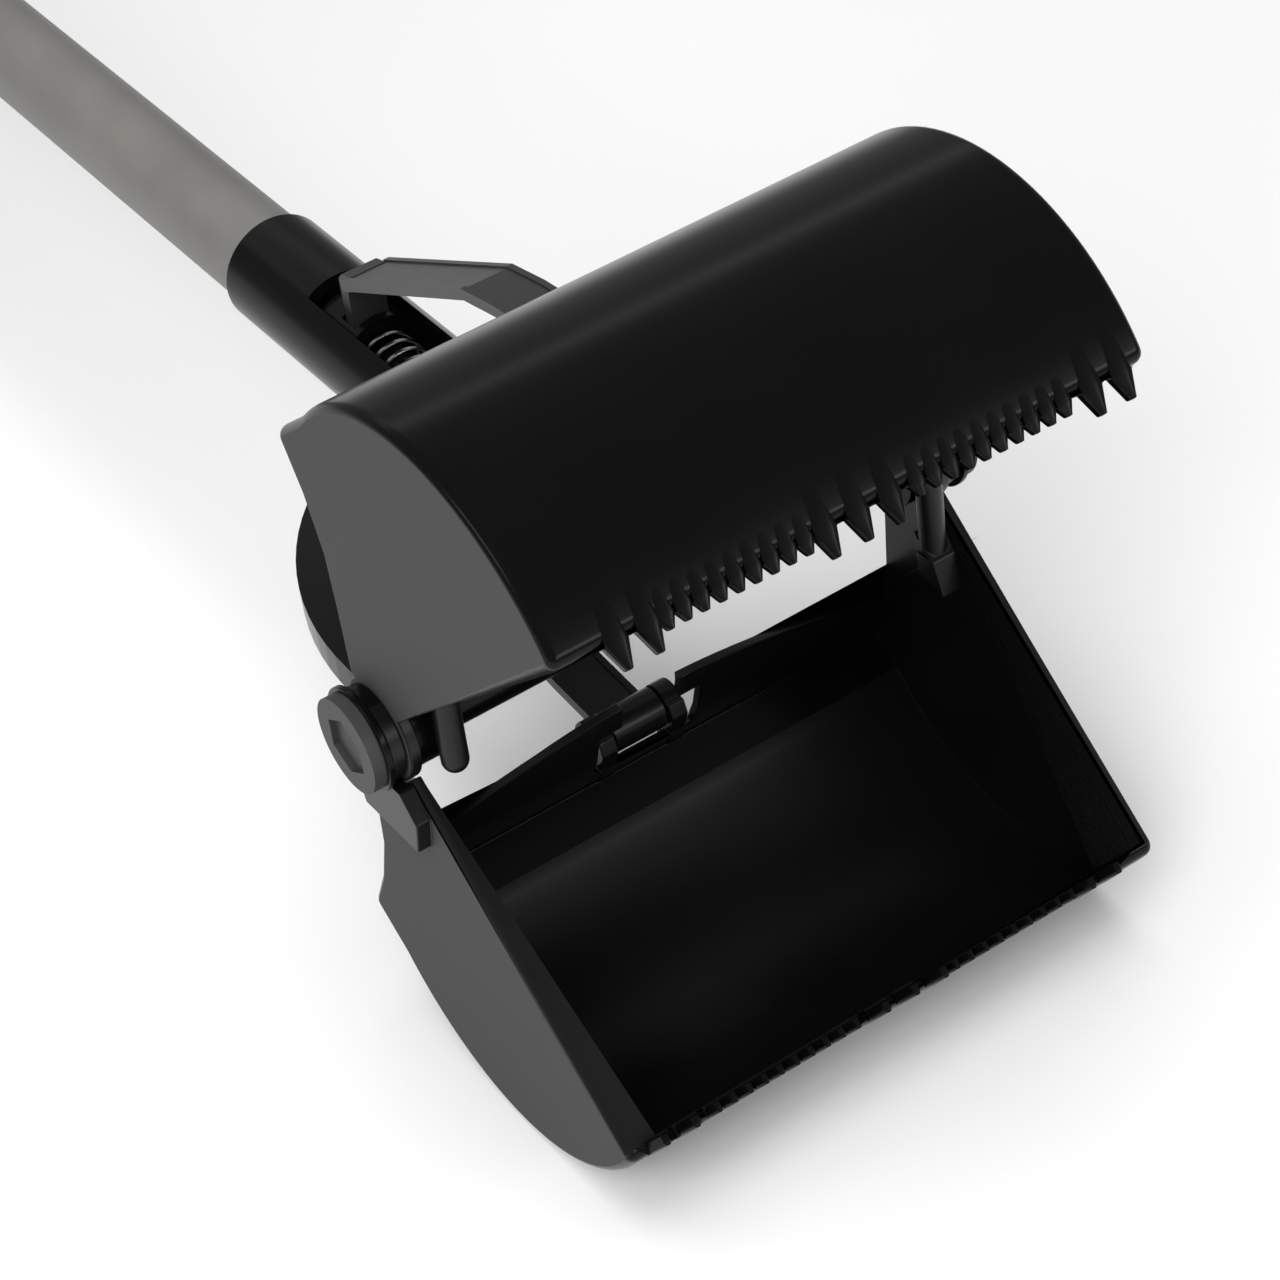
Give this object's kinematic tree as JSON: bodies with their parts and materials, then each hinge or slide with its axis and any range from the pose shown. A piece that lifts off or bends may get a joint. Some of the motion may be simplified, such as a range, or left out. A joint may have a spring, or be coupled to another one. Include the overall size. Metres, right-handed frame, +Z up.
{
  "type": "beach sand scoop",
  "caption": "Long-handled two-jaw pick-up scoop: a trigger in the grip pushes a rod that closes two toothed clamshell jaws against a return spring.",
  "frame": {"origin": "on the surface that the tool lies on, below the middle of its overall box", "axes": "+X along the jaw hinge, +Y along the pole from the jaws to the grip, +Z up"},
  "size_m": [0.1812, 0.8632, 0.213],
  "materials": {
    "jaw_plastic": "glossy black moulding, finely grained side plates",
    "frame_plastic": "black moulded plastic, satin",
    "cap_plastic": "dark grey moulded plastic",
    "link_plastic": "black moulded plastic, matt",
    "pole_coating": "warm grey satin coating on aluminium tube",
    "steel": "zinc-plated steel",
    "spring_wire": "drawn spring wire",
    "rod_metal": "drawn aluminium rod",
    "nylon": "natural nylon",
    "grip_plastic": "black grained moulding",
    "trigger_plastic": "black moulded plastic"
  },
  "bodies": {
    "frame": {"pole_tube": "pole_coating", "yoke_frame": "frame_plastic", "cross_tube": "frame_plastic", "hinge_axle": "steel", "axle_cap_left": "cap_plastic", "axle_cap_right": "cap_plastic", "hub_washer_left": "frame_plastic", "hub_washer_right": "frame_plastic", "spring_seat": "nylon", "return_spring": "spring_wire", "pole_screw_front": "steel", "pole_screw_rear": "steel", "rod_guide_front": "nylon", "rod_guide_rear": "nylon", "grip_left": "grip_plastic", "grip_right": "grip_plastic", "grip_screws": "steel", "trigger_pin": "steel", "rear_cap": "grip_plastic"},
    "slider": {"slider": "frame_plastic", "push_rod": "rod_metal", "rod_nut": "steel", "rod_cross_pin": "steel"},
    "upper_jaw": {"upper_jaw": "jaw_plastic", "upper_knuckle_pin": "steel"},
    "lower_jaw": {"lower_jaw": "jaw_plastic", "lower_knuckle_pin": "steel"},
    "upper_link": {"upper_link": "link_plastic"},
    "lower_link": {"lower_link": "link_plastic"},
    "trigger": {"trigger": "trigger_plastic"}
  },
  "joints": [
    {"name": "lower_jaw_hinge", "type": "hinge", "parent": "frame", "child": "lower_jaw", "pos_m": [0, -0.3364, 0.1065], "axis": [-1, 0, 0], "range_deg": [0, 36.6], "stiffness_Nm_per_rad": 0.4, "springref_deg": -40.11},
    {"name": "upper_jaw_hinge", "type": "hinge", "parent": "frame", "child": "upper_jaw", "pos_m": [0, -0.3364, 0.1065], "axis": [1, 0, 0], "range_deg": [0, 36.6]},
    {"name": "slider_travel", "type": "slide", "parent": "frame", "child": "slider", "axis": [0, -1, 0], "range_m": [0, 0.04303], "deforming": ["return_spring"]},
    {"name": "upper_link_hinge", "type": "hinge", "parent": "upper_jaw", "child": "upper_link", "pos_m": [0, -0.3129, 0.168], "axis": [-1, 0, 0], "range_deg": [0, 38.35]},
    {"name": "lower_link_hinge", "type": "hinge", "parent": "lower_jaw", "child": "lower_link", "pos_m": [0, -0.3129, 0.045], "axis": [1, 0, 0], "range_deg": [0, 38.35]},
    {"name": "trigger_hinge", "type": "hinge", "parent": "frame", "child": "trigger", "pos_m": [0, 0.3356, 0.0585], "axis": [1, 0, 0], "range_deg": [0, 48]}
  ],
  "couplings": [
    {"joint": "upper_jaw_hinge", "follows": "lower_jaw_hinge", "ratio": 1},
    {"joint": "slider_travel", "follows": "lower_jaw_hinge", "m_per_rad": 0.067201},
    {"joint": "upper_link_hinge", "follows": "lower_jaw_hinge", "ratio": 1.045},
    {"joint": "lower_link_hinge", "follows": "lower_jaw_hinge", "ratio": 1.045},
    {"joint": "trigger_hinge", "follows": "lower_jaw_hinge", "ratio": 1.3085}
  ]
}
